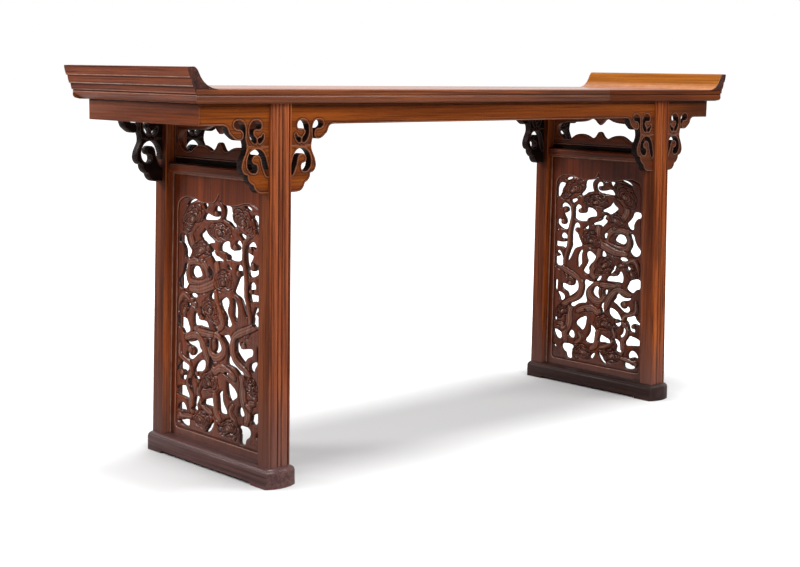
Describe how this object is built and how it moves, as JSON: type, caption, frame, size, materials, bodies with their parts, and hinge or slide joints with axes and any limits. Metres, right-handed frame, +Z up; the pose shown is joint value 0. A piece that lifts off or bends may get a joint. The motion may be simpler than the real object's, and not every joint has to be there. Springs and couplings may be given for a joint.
{
  "type": "altar table",
  "caption": "Long narrow altar table with everted ends, recessed splayed legs on shoe feet, ruyi spandrels and pierced carved end panels.",
  "frame": {"origin": "on the floor, at the centre of the footprint", "axes": "+X along the table towards its right end, +Y from the front to the rear, +Z up"},
  "size_m": [1.8284, 0.4804, 0.904],
  "materials": {
    "top_wood": "polished reddish-brown hardwood",
    "frame_wood": "satin orange-brown hardwood",
    "carved_wood": "soft-gloss dark reddish-brown carved hardwood",
    "foot_wood": "satin dark purple-brown hardwood"
  },
  "bodies": {
    "root": {"top_rail_front": "top_wood", "top_rail_rear": "top_wood", "top_end_left": "top_wood", "top_end_right": "top_wood", "top_panel": "top_wood", "top_batten_1": "frame_wood", "top_batten_2": "frame_wood", "top_batten_3": "frame_wood", "top_batten_4": "frame_wood", "top_batten_5": "frame_wood", "apron_front": "frame_wood", "apron_rear": "frame_wood", "apron_left": "frame_wood", "apron_right": "frame_wood", "spandrel_left_front_inner": "carved_wood", "spandrel_left_front_outer": "carved_wood", "spandrel_left_rear_inner": "carved_wood", "spandrel_left_rear_outer": "carved_wood", "spandrel_right_front_inner": "carved_wood", "spandrel_right_front_outer": "carved_wood", "spandrel_right_rear_inner": "carved_wood", "spandrel_right_rear_outer": "carved_wood", "leg_left_front": "frame_wood", "leg_left_rear": "frame_wood", "leg_right_front": "frame_wood", "leg_right_rear": "frame_wood", "window_board_left": "frame_wood", "window_board_right": "frame_wood", "end_rail_left": "frame_wood", "end_rail_right": "frame_wood", "end_panel_left": "carved_wood", "end_panel_right": "carved_wood", "foot_left": "foot_wood", "foot_right": "foot_wood"}
  },
  "joints": []
}
